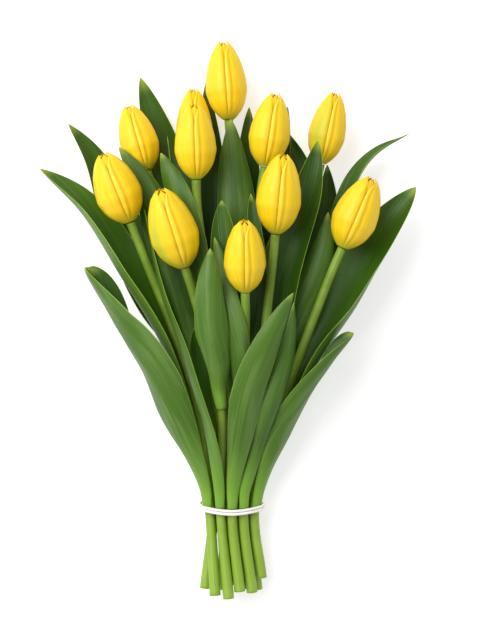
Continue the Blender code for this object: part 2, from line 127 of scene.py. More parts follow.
# x, y, z of the cut end, the middle of the visible stem, the flower base and the flower tip;
# band is x and z under the rubber band; radius is the flower's widest. All mm.
TULIPS = {
    "01": dict(cut=(-9.8, -209.0, 25.0), band=(-14.5, 19.0), mid=(-24.2, -60.5, 30.0),
               base=(-72.9, 73.3, 48.4), tip=(-92.8, 123.2, 57.8), radius=18.0),
    "02": dict(cut=(0.4, -211.2, 26.0), band=(-5.9, 23.5), mid=(-5.6, -60.0, 47.5),
               base=(-31.8, 39.3, 62.6), tip=(-49.5, 95.7, 77.7), radius=18.6),
    "03": dict(cut=(8.8, -206.0, 24.0), band=(2.9, 25.2), mid=(11.2, -52.2, 46.0),
               base=(12.8, 20.9, 70.7), tip=(12.0, 72.6, 87.7), radius=16.0),
    "04": dict(cut=(18.2, -207.4, 19.0), band=(11.5, 23.4), mid=(22.5, -52.4, 42.0),
               base=(35.2, 64.2, 60.3), tip=(40.5, 121.6, 73.8), radius=17.2),
    "05": dict(cut=(25.4, -197.0, 13.5), band=(20.2, 18.3), mid=(45.3, -52.8, 32.0),
               base=(85.3, 54.2, 48.3), tip=(106.9, 105.6, 55.9), radius=17.6),
    "06": dict(cut=(22.3, -207.3, 5.5), band=(16.0, 9.9), mid=(33.6, -53.5, 16.0),
               base=(70.2, 118.8, 25.1), tip=(81.3, 172.1, 29.9), radius=14.7),
    "07": dict(cut=(12.3, -205.5, 12.0), band=(7.3, 15.5), mid=(14.4, -53.1, 26.0),
               base=(27.6, 115.2, 40.0), tip=(35.6, 169.2, 45.9), radius=16.0),
    "08": dict(cut=(4.4, -201.9, 5.4), band=(7.0, 6.5), mid=(2.3, -53.6, 14.0),
               base=(0.4, 152.1, 24.0), tip=(-3.8, 211.2, 26.9), radius=16.4),
    "09": dict(cut=(0.4, -202.3, 17.4), band=(-1.5, 15.8), mid=(-3.0, -60.2, 36.0),
               base=(-23.2, 104.7, 56.2), tip=(-24.8, 158.9, 67.8), radius=16.1),
    "10": dict(cut=(-5.4, -207.0, 7.5), band=(-2.2, 6.9), mid=(-13.0, -22.0, 17.0),
               base=(-25.0, 117.0, 24.0), tip=(-26.4, 175.6, 26.9), radius=14.8),
    "11": dict(cut=(-17.6, -205.5, 12.0), band=(-11.5, 11.0), mid=(-19.8, -53.4, 18.0),
               base=(-61.4, 113.4, 26.0), tip=(-75.6, 162.5, 28.0), radius=15.3),
}


def smooth_path(points, parts=24):
    """A centripetal Catmull-Rom curve through the points: each stretch blends, in knot distance,
    the straight lines through its four nearest points."""
    p = np.asarray(points, float)
    p = np.vstack([2 * p[0] - p[1], p, 2 * p[-1] - p[-2]])
    knots = np.concatenate([[0.0], np.cumsum(np.sqrt(np.linalg.norm(np.diff(p, axis=0), axis=1)))])
    out = []
    for i in range(1, len(p) - 2):
        t0, t1, t2, t3 = knots[i - 1:i + 3]
        t = np.linspace(t1, t2, parts, endpoint=i == len(p) - 3)[:, None]
        a1 = (t1 - t) / (t1 - t0) * p[i - 1] + (t - t0) / (t1 - t0) * p[i]
        a2 = (t2 - t) / (t2 - t1) * p[i] + (t - t1) / (t2 - t1) * p[i + 1]
        a3 = (t3 - t) / (t3 - t2) * p[i + 1] + (t - t2) / (t3 - t2) * p[i + 2]
        b1 = (t2 - t) / (t2 - t0) * a1 + (t - t0) / (t2 - t0) * a2
        b2 = (t3 - t) / (t3 - t1) * a2 + (t - t1) / (t3 - t1) * a3
        out.append((t2 - t) / (t2 - t1) * b1 + (t - t1) / (t2 - t1) * b2)
    return np.vstack(out)


def along(path, fractions):
    """Positions and unit tangents at fractions of the path's length; a tangent is the direction
    between the points 2 mm behind and 2 mm ahead."""
    steps = np.linalg.norm(np.diff(path, axis=0), axis=1)
    length = np.concatenate([[0.0], np.cumsum(steps)])
    here = np.asarray(fractions) * length[-1]
    place = np.stack([np.interp(here, length, path[:, k]) for k in range(3)], axis=1)
    ahead, behind = np.minimum(here + 2.0, length[-1]), np.maximum(here - 2.0, 0.0)
    step = np.stack([np.interp(ahead, length, path[:, k]) - np.interp(behind, length, path[:, k])
                     for k in range(3)], axis=1)
    return place, step / np.linalg.norm(step, axis=1)[:, None], length[-1]


def stem_path(tulip):
    """The stem's axis, from the cut end through the band and the middle to the flower base."""
    row = TULIPS[tulip]
    band = (row["band"][0], BAND_Y, row["band"][1])
    base, tip = np.array(row["base"]), np.array(row["tip"])
    up = (tip - base) / np.linalg.norm(tip - base)
    return smooth_path([row["cut"], band, row["mid"], base - 22.0 * up, base - NECK_GAP * up])


def grid_faces(rows, columns, closed):
    """Quads of a rows x columns grid of points, numbered row by row; closed joins the last column
    to the first."""
    i, j = np.meshgrid(np.arange(rows - 1), np.arange(columns if closed else columns - 1),
                       indexing="ij")
    k = (j + 1) % columns
    return np.stack([i * columns + j, i * columns + k, (i + 1) * columns + k,
                     (i + 1) * columns + j], axis=-1).reshape(-1, 4)


def add_piece(name, points, faces, material, node, values):
    """A smooth mesh object from points in table millimetres, with a float attribute for each entry
    of values. It rides on the bunch and stands for the CAD node."""
    points = np.asarray(points, float)
    tri = np.concatenate([np.asarray([f[:3] for f in faces]),
                          np.asarray([(f[0], f[2], f[3]) for f in faces if len(f) == 4])])
    a, b, c = points[tri[:, 0]], points[tri[:, 1]], points[tri[:, 2]]
    if np.sum(a * np.cross(b, c)) < 0:
        faces = [tuple(f)[::-1] for f in faces]
    mesh = bpy.data.meshes.new(name)
    mesh.from_pydata(((points + MIDDLE) / 1000.0).tolist(), [], [tuple(map(int, f)) for f in faces])
    for key, value in values.items():
        mesh.attributes.new(key, "FLOAT", "POINT").data.foreach_set(
            "value", np.ascontiguousarray(value, dtype=np.float32).ravel())
    mesh.polygons.foreach_set("use_smooth", [True] * len(mesh.polygons))
    mesh.materials.append(material)
    body = bpy.data.objects.new(name, mesh)
    bpy.context.scene.collection.objects.link(body)
    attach(body, "root")
    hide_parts(node)
    return body


# A living stem: a smooth waxy skin over watery tissue, so it has a soft sheen.
stem_skin, tree, shader = new_material("stem_skin", Roughness=0.42)
height = add_node(tree, "ShaderNodeAttribute", attribute_name="height").outputs["Fac"]
turn = add_node(tree, "ShaderNodeAttribute", attribute_name="turn").outputs["Fac"]
cut = add_node(tree, "ShaderNodeAttribute", attribute_name="cut").outputs["Fac"]
rib_map = add_node(tree, "ShaderNodeCombineXYZ", links={"X": turn, "Y": height}).outputs[0]
rib = add_node(tree, "ShaderNodeTexNoise", {"Scale": 1.0, "Detail": 3.0, "Roughness": 0.6},
               {"Vector": add_node(tree, "ShaderNodeMapping", {"Scale": (34.0, 5.0, 1.0)},
                                   {"Vector": rib_map}).outputs[0]}).outputs["Fac"]
patch = add_node(tree, "ShaderNodeTexNoise", {"Scale": 45.0, "Detail": 2.0},
                 {"Vector": add_node(tree, "ShaderNodeTexCoord").outputs["Object"]}).outputs["Fac"]
tint = add_node(tree, "ShaderNodeValToRGB", links={"Fac": height})
tint.color_ramp.elements[0].color = linear("#96B83A")
tint.color_ramp.elements[1].color = linear("#6E8C22")
tint.color_ramp.elements.new(0.3).color = linear("#82A42C")
tint.color_ramp.elements.new(0.7).color = linear("#78972A")
streak = add_node(tree, "ShaderNodeMix", {"B": linear("#557219")},
                  {"A": tint.outputs["Color"]}, data_type="RGBA")
amount = add_node(tree, "ShaderNodeMapRange", {"From Min": 0.35, "From Max": 0.75, "To Max": 0.55},
                  {"Value": rib})
tree.links.new(amount.outputs[0], streak.inputs["Factor"])
fleck = add_node(tree, "ShaderNodeMix", {"B": linear("#A3C048")}, {"A": streak.outputs["Result"]},
                 data_type="RGBA")
tree.links.new(add_node(tree, "ShaderNodeMapRange", {"From Min": 0.45, "From Max": 0.8, "To Max": 0.5},
                        {"Value": patch}).outputs[0], fleck.inputs["Factor"])
raw = add_node(tree, "ShaderNodeMix", {"B": linear("#C9D48A")},
               {"A": fleck.outputs["Result"], "Factor": cut}, data_type="RGBA")
tree.links.new(raw.outputs["Result"], shader.inputs["Base Color"])
bump = add_node(tree, "ShaderNodeBump", {"Strength": 0.25, "Distance": 0.0003}, {"Height": rib})
tree.links.new(bump.outputs[0], shader.inputs["Normal"])


def add_stem(tulip):
    """A tube round the stem's axis that narrows from the cut end to the neck. Five faint ribs turn
    slowly along it: radius times 1 + 0.018 sin(5 angle + 6 fraction). The cut end is flat."""
    path = stem_path(tulip)
    fractions = np.linspace(0.0, 1.0, 120)
    place, tangent, _ = along(path, fractions)
    radius = np.interp(fractions, [0.0, 0.2, 1.0], [CUT_RADIUS, BAND_RADIUS, NECK_RADIUS])
    across = np.cross(tangent, (0.0, 0.0, 1.0))
    across /= np.linalg.norm(across, axis=1)[:, None]
    over = np.cross(across, tangent)
    sides = 28
    angle = 2 * math.pi * np.arange(sides) / sides
    swell = 1.0 + 0.018 * np.sin(5 * angle[None, :] + 6 * fractions[:, None])
    ring = place[:, None] + (radius[:, None] * swell)[..., None] * (
        np.cos(angle)[None, :, None] * across[:, None] + np.sin(angle)[None, :, None] * over[:, None])
    near = place[0] + 0.86 * (ring[0] - place[0])
    ring[0] += 0.15 * tangent[0]
    points = np.concatenate([near, ring.reshape(-1, 3), [place[0] + 0.1 * tangent[0], place[-1]]])
    faces = grid_faces(len(fractions) + 1, sides, closed=True).tolist()
    count = (len(fractions) + 1) * sides
    faces += [(count, (k + 1) % sides, k) for k in range(sides)]
    faces += [(count + 1, count - sides + k, count - sides + (k + 1) % sides) for k in range(sides)]
    h = np.concatenate([np.zeros(sides), np.repeat(fractions, sides), [0.0, 1.0]])
    a = np.concatenate([np.tile(angle, len(fractions) + 1), [0.0, 0.0]]) / (2 * math.pi)
    c = np.concatenate([np.ones(sides), np.zeros(len(fractions) * sides), [1.0, 0.0]])
    add_piece(f"{tulip}_stem", points, faces, stem_skin, f"stem_{tulip}",
              {"height": h, "turn": np.abs(a - 0.5) * 2, "cut": c})


for tulip in TULIPS:
    add_stem(tulip)

# ---------------------------------------------------------------- leaves
# Broad strap-shaped leaves with smooth edges and veins that run side by side to the tip. The
# outer face has a grey-green bloom, the inner one is painted deeper green as painted shade in
# the hollow it faces, and the thin edge is lime.

LEAF_THICKNESS = 0.8     # mm
SHEATH_RADIUS = 4.75     # middle of a leaf base from the stem's axis, mm

# start is the base's height above the band; side is where its outer face looks (degrees: 0 down,
# 90 left, 180 up, -90 right); wrap is how far it goes round the stem each way; facing and cup are
# the outer face's direction and the cross-section's half angle at 0.35, 0.7 and 1.0 of the length.
LEAVES = {
    "01_a": dict(tulip="01", start=-2, side=145, wrap=50, half_width=23,
                 facing=(150, 103, 45), cup=(47, 64, 85),
                 path=[(-34.5, -88.0, 43.0), (-59.5, -38.0, 54.0), (-82.0, -6.0, 50.0),
                       (-107.0, 39.5, 38.0)]),
    "01_b": dict(tulip="01", start=38, side=85, wrap=70, half_width=26,
                 facing=(78, 68, 70), cup=(66, 62, 50),
                 path=[(-47.8, -21.5, 35.0), (-79.0, 34.0, 33.5), (-109.5, 83.0, 32.0),
                       (-142.0, 114.0, 31.0)]),
    "02_a": dict(tulip="02", start=-2, side=172, wrap=43, half_width=11,
                 facing=(100, 90, 84), cup=(50, 32, 28),
                 path=[(-14.3, -89.0, 51.5), (-28.8, -40.0, 55.7), (-36.4, -15.0, 57.0),
                       (-46.0, 11.0, 57.5), (-51.5, 30.0, 56.5), (-62.4, 82.5, 48.3)]),
    "02_b": dict(tulip="02", start=42, side=85, wrap=42, half_width=8,
                 facing=(60, 20, 10), cup=(30, 30, 30),
                 path=[(-19.5, -55.0, 37.0), (-23.0, -33.0, 37.0), (-24.9, -5.1, 41.7)]),
    "02_c": dict(tulip="02", start=75, side=187, wrap=55, half_width=13,
                 facing=(185, 180, 175), cup=(45, 50, 50),
                 path=[(-6.3, -35.0, 67.0), (-12.0, -3.7, 78.0), (-13.3, 25.5, 81.5),
                       (-12.7, 51.9, 79.2)]),
    "03_a": dict(tulip="03", start=-2, side=187, wrap=45, half_width=13,
                 facing=(185, 195, 210), cup=(35, 40, 50),
                 path=[(9.0, -88.9, 51.3), (16.4, -51.3, 68.6), (29.0, -18.2, 79.2),
                       (47.6, 19.6, 81.9)]),
    "03_b": dict(tulip="03", start=62, side=185, wrap=55, half_width=10,
                 facing=(165, 162, 160), cup=(38, 42, 45),
                 path=[(9.5, -36.0, 63.5), (6.5, -20.0, 68.0), (3.0, -4.0, 70.5), (-0.8, 12.0, 69.5),
                       (-3.2, 24.0, 65.5), (-5.2, 36.0, 61.5), (-9.9, 60.9, 60.1)]),
    "03_c": dict(tulip="03", start=88, side=-40, wrap=55, half_width=8,
                 facing=(0, 0, 0), cup=(30, 30, 30),
                 path=[(18.0, -18.6, 40.0), (20.5, 3.7, 43.5), (21.0, 43.5, 48.0), (19.0, 72.0, 50.0),
                       (17.0, 93.9, 50.9)]),
    "04_a": dict(tulip="04", start=-2, side=190, wrap=42, half_width=8.3,
                 facing=(195, 200, 215), cup=(50, 50, 45),
                 path=[(21.0, -100.0, 39.7), (29.3, -72.0, 54.7), (38.0, -48.0, 61.2),
                       (44.0, -28.0, 63.7), (47.5, -6.0, 65.0), (48.6, 12.9, 63.9)]),
    "04_b": dict(tulip="04", start=62, side=-45, wrap=75, half_width=17,
                 facing=(-12, -14, 5), cup=(42, 52, 50),
                 path=[(35.5, -3.7, 35.5), (39.0, 30.0, 37.0), (52.0, 72.0, 41.0), (60.0, 98.0, 44.5),
                       (67.1, 133.4, 47.8)]),
    "05_a": dict(tulip="05", start=-2, side=215, wrap=50, half_width=14.3,
                 facing=(208, 250, 312), cup=(50, 62, 82),
                 path=[(38.9, -90.0, 39.9), (57.0, -60.0, 49.2), (72.6, -38.0, 52.1),
                       (93.5, -9.5, 46.6)]),
    "05_b": dict(tulip="05", start=36, side=-75, wrap=75, half_width=24,
                 facing=(-85, -45, -25), cup=(68, 55, 50),
                 path=[(62.8, -41.8, 31.5), (91.0, 8.5, 30.5), (107.5, 46.0, 30.0),
                       (122.0, 72.0, 29.5), (141.8, 100.3, 30.0)]),
    "06_a": dict(tulip="06", start=62, side=180, wrap=60, half_width=12,
                 facing=(180, 180, 180), cup=(30, 35, 40),
                 path=[(34.5, -52.0, 22.5), (50.0, -2.0, 30.5), (65.0, 33.0, 34.5), (72.0, 55.0, 36.0),
                       (75.2, 80.9, 37.4)]),
    "06_b": dict(tulip="06", start=106, side=15, wrap=65, half_width=11,
                 facing=(0, 0, 0), cup=(30, 30, 35),
                 path=[(61.5, 42.2, 7.2), (75.5, 84.6, 7.5), (75.9, 118.9, 11.8)]),
    "06_c": dict(tulip="06", start=70, side=-65, wrap=45, half_width=12,
                 facing=(0, -50, -100), cup=(30, 45, 50),
                 path=[(58.5, -25.0, 13.0), (76.5, 8.0, 13.0), (83.0, 43.8, 13.5), (88.5, 79.7, 17.0),
                       (97.0, 107.0, 20.0), (112.0, 126.0, 23.0), (137.3, 141.0, 27.0)]),
    "07_a": dict(tulip="07", start=100, side=-60, wrap=75, half_width=10,
                 facing=(-20, -5, 0), cup=(40, 42, 45),
                 path=[(24.5, -5.0, 22.0), (28.8, 60.7, 20.5), (38.7, 113.9, 22.0),
                       (45.1, 161.4, 27.8)]),
    "07_b": dict(tulip="07", start=84, side=-10, wrap=70, half_width=13.5,
                 facing=(0, 0, 0), cup=(35, 37, 40),
                 path=[(33.5, 38.3, 9.5), (54.0, 85.0, 9.5), (56.0, 112.0, 11.5), (44.7, 144.0, 13.9)]),
    "08_a": dict(tulip="08", start=75, side=180, wrap=60, half_width=17,
                 facing=(180, 180, 180), cup=(35, 37, 40),
                 path=[(2.6, -25.0, 28.0), (4.8, 30.2, 32.0), (6.3, 84.0, 37.0), (3.5, 125.0, 38.5),
                       (2.1, 150.9, 38.5)]),
    "08_b": dict(tulip="08", start=95, side=-30, wrap=75, half_width=12,
                 facing=(0, 0, 0), cup=(35, 37, 40),
                 path=[(10.8, 57.5, 10.0), (14.3, 107.5, 8.5), (16.0, 162.9, 11.9)]),
    "09_a": dict(tulip="09", start=128, side=150, wrap=60, half_width=14,
                 facing=(140, 140, 160), cup=(35, 38, 45),
                 path=[(-22.0, 30.0, 50.5), (-29.0, 57.0, 49.0), (-36.3, 85.0, 53.0),
                       (-43.2, 105.0, 53.0), (-49.8, 124.0, 52.1)]),
    "09_b": dict(tulip="09", start=120, side=-85, wrap=60, half_width=12,
                 facing=(-40, -15, -10), cup=(40, 35, 40),
                 path=[(1.2, 20.0, 51.0), (-1.4, 50.0, 54.3), (-3.2, 67.0, 55.5), (-4.6, 88.3, 57.0)]),
    "10_a": dict(tulip="10", start=36, side=5, wrap=60, half_width=20,
                 facing=(0, 0, 0), cup=(30, 35, 45),
                 path=[(-9.5, -45.0, 6.0), (-21.5, 23.0, 5.0), (-35.0, 90.0, 5.0), (-47.0, 121.0, 6.0),
                       (-55.5, 149.0, 8.0), (-67.3, 185.5, 13.7)]),
    "10_b": dict(tulip="10", start=100, side=150, wrap=60, half_width=6,
                 facing=(110, 85, 80), cup=(45, 45, 45),
                 path=[(-20.5, 8.0, 25.5), (-29.5, 60.6, 29.0), (-40.8, 98.1, 32.0),
                       (-45.7, 137.9, 35.8)]),
    "10_c": dict(tulip="10", start=90, side=-20, wrap=75, half_width=11,
                 facing=(0, 0, 0), cup=(30, 32, 40),
                 path=[(-12.0, 20.0, 10.5), (-11.5, 53.7, 12.0), (-10.8, 90.0, 12.0),
                       (-12.5, 123.1, 7.5), (-17.5, 181.9, 8.0)]),
    "11_a": dict(tulip="11", start=50, side=60, wrap=60, half_width=17,
                 facing=(20, 20, 50), cup=(30, 30, 45),
                 path=[(-36.0, -24.0, 8.0), (-58.0, 15.0, 6.5), (-84.0, 77.0, 6.0),
                       (-103.0, 122.0, 12.0), (-121.8, 149.3, 19.5)]),
    "11_b": dict(tulip="11", start=80, side=160, wrap=75, half_width=15,
                 facing=(180, 175, 150), cup=(35, 38, 45),
                 path=[(-25.5, -20.0, 28.2), (-44.5, 49.0, 36.5), (-61.0, 95.0, 39.0),
                       (-81.9, 129.7, 39.0)]),
}

# How pale each leaf is: 0 is the darkest inner leaf, 1 the palest, thickest in bloom. The dark
# end is partly painted shade, given to leaves that lie in shadow inside the bunch.
LEAF_TONE_AND_SHADE = {
    "01_a": 0.45, "01_b": 0.95, "02_a": 0.5, "02_b": 0.9, "02_c": 0.5, "03_a": 0.55,
    "03_b": 0.35, "03_c": 0.05, "04_a": 0.3, "04_b": 0.1, "05_a": 0.5, "05_b": 0.6,
    "06_c": 0.6, "06_a": 0.35, "06_b": 0.1, "07_a": 0.2, "07_b": 0.2, "08_a": 0.2,
    "08_b": 0.1, "09_a": 0.2, "09_b": 0.4, "10_a": 0.35, "10_b": 0.4, "10_c": 0.1,
    "11_a": 0.4, "11_b": 0.1}

# How the width falls towards the tip: a power of the distance to it, 0.75 where none is given.
BLUNT = {"01_a": 0.46, "05_a": 0.46}


def out_direction(degrees):
    """0 looks down, 90 left, 180 up and -90 right."""
    a = np.radians(degrees)
    return np.stack([-np.sin(a), np.zeros_like(a), -np.cos(a)], axis=-1)


def eased(t, knots, values, width=0.09):
    """Straight lines through the knots, averaged over a window so that no corner is left."""
    shift = np.linspace(-width, width, 15)
    return np.mean([np.interp(t + s * np.minimum(1.0, np.minimum(t, 1 - t) / width), knots, values)
                    for s in shift], axis=0)


# A living leaf: a waxy skin over parallel veins, with a powdery bloom on its outer face.
leaf_skin, tree, shader = new_material("leaf_skin", Roughness=0.45, Specular_IOR_Level=0.32)
t_at = add_node(tree, "ShaderNodeAttribute", attribute_name="along").outputs["Fac"]
s_at = add_node(tree, "ShaderNodeAttribute", attribute_name="across").outputs["Fac"]
w_at = add_node(tree, "ShaderNodeAttribute", attribute_name="width_mm").outputs["Fac"]
l_at = add_node(tree, "ShaderNodeAttribute", attribute_name="length_mm").outputs["Fac"]
o_at = add_node(tree, "ShaderNodeAttribute", attribute_name="outer").outputs["Fac"]
# Each leaf's paleness, partly painted shade for leaves that lie in shadow inside the bunch.
tone_and_shade = add_node(tree, "ShaderNodeAttribute", attribute_name="tone_and_shade").outputs["Fac"]
vein_map = add_node(tree, "ShaderNodeCombineXYZ", links={"X": w_at, "Y": l_at, "Z": tone_and_shade}).outputs[0]
# Veins lie about 0.5 mm apart and run the leaf's whole length, so noise is stretched 300 times.
vein = add_node(tree, "ShaderNodeTexNoise", {"Scale": 1.0, "Detail": 3.0, "Roughness": 0.65},
                {"Vector": add_node(tree, "ShaderNodeMapping", {"Scale": (2.1, 0.007, 40.0)},
                                    {"Vector": vein_map}).outputs[0]}).outputs["Fac"]
cloud = add_node(tree, "ShaderNodeTexNoise", {"Scale": 1.0, "Detail": 3.0},
                 {"Vector": add_node(tree, "ShaderNodeMapping", {"Scale": (0.13, 0.018, 40.0)},
                                     {"Vector": vein_map}).outputs[0]}).outputs["Fac"]


def mixed(tree, a, b, factor):
    """Colour a blended towards colour b by factor; each is a socket or a value."""
    node = add_node(tree, "ShaderNodeMix", data_type="RGBA", clamp_factor=True)
    for key, value in (("A", a), ("B", b), ("Factor", factor)):
        if isinstance(value, bpy.types.NodeSocket):
            tree.links.new(value, node.inputs[key])
        else:
            node.inputs[key].default_value = value
    return node.outputs["Result"]


def product(tree, a, b):
    """Socket a times b, which is a socket or a number."""
    node = add_node(tree, "ShaderNodeMath", links={0: a}, operation="MULTIPLY")
    if isinstance(b, bpy.types.NodeSocket):
        tree.links.new(b, node.inputs[1])
    else:
        node.inputs[1].default_value = b
    return node.outputs[0]


def ranged(tree, value, low, high, to_low=0.0, to_high=1.0):
    """value taken from low..high to to_low..to_high, clamped, along an S curve."""
    return add_node(tree, "ShaderNodeMapRange",
                    {"From Min": low, "From Max": high, "To Min": to_low, "To Max": to_high},
                    {"Value": value}, interpolation_type="SMOOTHSTEP").outputs[0]


# The inner face is painted darker than the outer one, as painted shade in the hollow it faces.
inner_green_and_shade = mixed(tree, linear("#284A06"), linear("#3F690E"), tone_and_shade)
outer_green = mixed(tree, linear("#355A0C"), linear("#577C24"), tone_and_shade)
green = mixed(tree, inner_green_and_shade, outer_green, o_at)
bloom = product(tree, product(tree, ranged(tree, cloud, 0.42, 0.7), o_at), 0.4)
green = mixed(tree, green, linear("#74924E"), bloom)
green = mixed(tree, green, linear("#1B3C06"), ranged(tree, vein, 0.5, 0.75, 0.0, 0.5))
green = mixed(tree, green, linear("#7FA348"), ranged(tree, vein, 0.46, 0.26, 0.0, 0.5))
green = mixed(tree, green, linear("#79A834"), ranged(tree, t_at, 0.36, 0.0, 0.0, 0.9))
green = mixed(tree, green, linear("#9BB03C"), ranged(tree, t_at, 0.95, 1.0, 0.0, 0.7))
side_at = add_node(tree, "ShaderNodeMath", links={0: s_at}, operation="ABSOLUTE").outputs[0]
green = mixed(tree, green, linear("#9FBE4A"), ranged(tree, side_at, 0.972, 0.997, 0.0, 0.9))
tree.links.new(green, shader.inputs["Base Color"])
gloss = ranged(tree, vein, 0.3, 0.7, 0.36, 0.52)
tree.links.new(gloss, shader.inputs["Roughness"])
bump = add_node(tree, "ShaderNodeBump", {"Strength": 0.35, "Distance": 0.0004}, {"Height": vein})
tree.links.new(bump.outputs[0], shader.inputs["Normal"])


def bell(x, middle, width):
    """A bump of height 1 at the middle: e to the minus ((x - middle) / width) squared."""
    return np.exp(-((x - middle) / width) ** 2)


def add_leaf(order, name):
    """A pointed blade: an arc carried along the leaf's path, round the stem at its base, then
    opened and turned as the table says. Its edges wave a little, by sines of the length that grow
    towards the edge, and a fold runs down the middle. The wall thins towards the edges and tip."""
    row = LEAVES[name]
    stem = stem_path(row["tulip"])
    side = out_direction(np.array([row["side"]], float))[0]
    feet = []
    for rise, gap in ((0.0, 0.0), (14.0, 0.6)):
        y = BAND_Y + row["start"] + rise
        axis = np.array([np.interp(y, stem[:, 1], stem[:, k]) for k in range(3)])
        feet.append(axis + side * (SHEATH_RADIUS + gap))
    path = smooth_path(feet + row["path"])
    t = np.linspace(0.0, 1.0, 110)
    place, tangent, length = along(path, t)
    knots = [0.0, 0.08, 0.35, 0.7, 1.0]
    facing = eased(t, knots, [row["side"], row["side"], *row["facing"]])
    cup = np.radians(eased(t, knots, [row["wrap"], row["wrap"], *row["cup"]]))
    blade = (t / 0.56) ** 0.95 * ((1 - t) / 0.44) ** BLUNT.get(name, 0.75)
    ease = t * t * (3 - 2 * t)
    base = SHEATH_RADIUS * math.radians(row["wrap"])
    half = base * (1 - ease) ** 3 + row["half_width"] * blade * np.minimum(1.0, 0.35 + 1.3 * t)
    half = np.maximum(half, 0.25)
    out = out_direction(facing)
    out -= tangent * np.sum(out * tangent, axis=1)[:, None]
    out /= np.linalg.norm(out, axis=1)[:, None]
    side_way = np.cross(tangent, out)
    s = np.sin(np.linspace(-1, 1, 31) * math.pi / 2)
    angle = s[None, :] * cup[:, None]
    normal = np.sin(angle)[..., None] * side_way[:, None] + np.cos(angle)[..., None] * out[:, None]
    middle = place[:, None] + (half / cup)[:, None, None] * (normal - out[:, None])
    wave = 0.4 * np.sin(2 * math.pi * (t * 1.6 + 0.37 * order))[:, None] * np.sign(s) * np.abs(s) ** 3
    wave += 0.2 * np.sin(2 * math.pi * (t * 3.3 + 0.61 * order))[:, None] * np.abs(s) ** 4
    wave *= (np.minimum(1.0, 5 * t) * np.minimum(1.0, 4 * (1 - t)))[:, None] * (half / 15.0)[:, None]
    fold = 0.45 * bell(s, 0.0, 0.07)[None, :] * np.sin(math.pi * t)[:, None]
    middle += (wave + fold)[..., None] * normal
    thick = 0.5 * LEAF_THICKNESS * (1 - 0.72 * np.abs(s) ** 6)[None, :] * np.minimum(
        1.0, np.minimum(0.35 + 6 * (1 - t), 0.2 + 25 * t))[:, None]
    outer, inner = middle + thick[..., None] * normal, middle - thick[..., None] * normal
    wide = len(s)
    points = np.concatenate([outer, inner[:, ::-1]], axis=1).reshape(-1, 3)
    faces = grid_faces(len(t), 2 * wide, closed=True).tolist()
    j = np.arange(wide - 1)
    for first in (0, (len(t) - 1) * 2 * wide):
        cap = np.stack([j, j + 1, 2 * wide - 2 - j, 2 * wide - 1 - j], axis=1) + first
        faces += (cap[:, ::-1] if first == 0 else cap).tolist()
    both = np.concatenate([s, s[::-1]])
    shape = (len(t), 2 * wide)
    add_piece(f"{name}_leaf", points, faces, leaf_skin, f"leaf_{name}", {
        "along": np.broadcast_to(t[:, None], shape), "across": np.broadcast_to(both, shape),
        "width_mm": half[:, None] * both + 50 * order,
        "length_mm": np.broadcast_to(t[:, None] * length, shape),
        "outer": np.broadcast_to(np.repeat([1.0, 0.0], wide), shape),
        "tone_and_shade": np.full(shape, LEAF_TONE_AND_SHADE[name])})


for order, name in enumerate(LEAVES):
    add_leaf(order, name)

# ---------------------------------------------------------------- flowers
# Each flower is a closed bud of six thick satin tepals: three outer ones that meet edge to edge
# and three inner ones under the seams. They are egg yellow, greener at the foot and midrib.

BUD_HEIGHT = [0.0, 0.05, 0.12, 0.2, 0.37, 0.55, 0.72, 0.86, 0.95, 1.0]
BUD_RADIUS = [0.27, 0.48, 0.68, 0.84, 1.0, 0.94, 0.79, 0.57, 0.37, 0.20]
TEPAL_SPAN = 66.0        # half the angle that a tepal covers round the bud, degrees
TEPAL_CENTRES = (66.0, 186.0, -54.0, 6.0, 126.0, -114.0)   # round the axis from the top, degrees
TEPAL_HALF_WALL = 0.35   # half a tepal's thickness at its middle, mm

# A living tepal: thick, satin and slightly see-through, so light softens in it.
petal_skin, tree, shader = new_material(
    "petal_skin", Roughness=0.5, Subsurface_Weight=0.12, Subsurface_Scale=0.004)
shader.inputs["Subsurface Radius"].default_value = (1.0, 0.7, 0.1)
u_at = add_node(tree, "ShaderNodeAttribute", attribute_name="up").outputs["Fac"]
v_at = add_node(tree, "ShaderNodeAttribute", attribute_name="across").outputs["Fac"]
x_at = add_node(tree, "ShaderNodeAttribute", attribute_name="width_mm").outputs["Fac"]
green_at = add_node(tree, "ShaderNodeAttribute", attribute_name="greenness").outputs["Fac"]
vein_map = add_node(tree, "ShaderNodeCombineXYZ", links={"X": x_at, "Y": u_at}).outputs[0]
vein = add_node(tree, "ShaderNodeTexNoise", {"Scale": 1.0, "Detail": 3.0, "Roughness": 0.6},
                {"Vector": add_node(tree, "ShaderNodeMapping", {"Scale": (1.3, 1.6, 1.0)},
                                    {"Vector": vein_map}).outputs[0]}).outputs["Fac"]
yellow = mixed(tree, linear("#F6CC02"), linear("#EAAB00"), ranged(tree, vein, 0.45, 0.8, 0.0, 0.6))
yellow = mixed(tree, yellow, linear("#FFE024"), ranged(tree, vein, 0.5, 0.25, 0.0, 0.5))
# Painted shade: the tucked edge is painted darker where it slips under its neighbour, fading out below
# the tip.
below_tip = ranged(tree, u_at, 0.9, 0.76)
yellow = mixed(tree, yellow, linear("#CC8A00"),
               product(tree, ranged(tree, v_at, 0.69, 0.84, 0.0, 0.8), below_tip))
# Painted shade in the groove beside the raised rib.
yellow = mixed(tree, yellow, linear("#E2A000"), ranged(tree, v_at, -0.66, -0.76, 0.0, 0.45))
